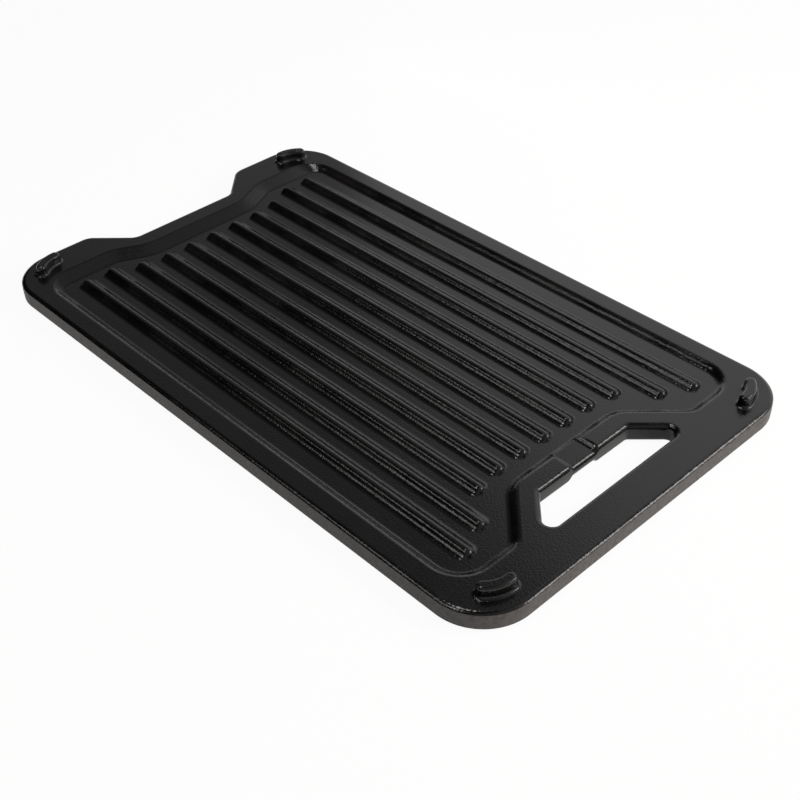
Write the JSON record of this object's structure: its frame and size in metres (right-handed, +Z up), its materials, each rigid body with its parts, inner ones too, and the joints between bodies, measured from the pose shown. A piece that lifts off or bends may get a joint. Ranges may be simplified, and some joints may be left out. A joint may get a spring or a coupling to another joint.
{
  "type": "camp griddle plate",
  "caption": "Reversible cast-iron camp griddle plate: a ribbed grilling basin with corner feet, a hand hole with a pouring spout, an open end notch and a flat basin underneath.",
  "frame": {"origin": "under the middle of the plate, on the surface that it rests on", "axes": "+Z up through the ribbed grilling face, +X towards the end with the hand hole, -X towards the notched end"},
  "size_m": [0.4606, 0.2744, 0.02],
  "materials": {
    "seasoned_iron": "black oil-seasoned sand casting, semi-matt with a fine grain"
  },
  "bodies": {
    "root": {"griddle_plate": "seasoned_iron", "grill_rib_01": "seasoned_iron", "grill_rib_02": "seasoned_iron", "grill_rib_03": "seasoned_iron", "grill_rib_04": "seasoned_iron", "grill_rib_05": "seasoned_iron", "grill_rib_06": "seasoned_iron", "grill_rib_07": "seasoned_iron", "grill_rib_08": "seasoned_iron", "grill_rib_09": "seasoned_iron", "grill_rib_10": "seasoned_iron", "grill_rib_11": "seasoned_iron", "foot_hole_front": "seasoned_iron", "foot_hole_back": "seasoned_iron", "foot_notch_front": "seasoned_iron", "foot_notch_back": "seasoned_iron"}
  },
  "joints": []
}
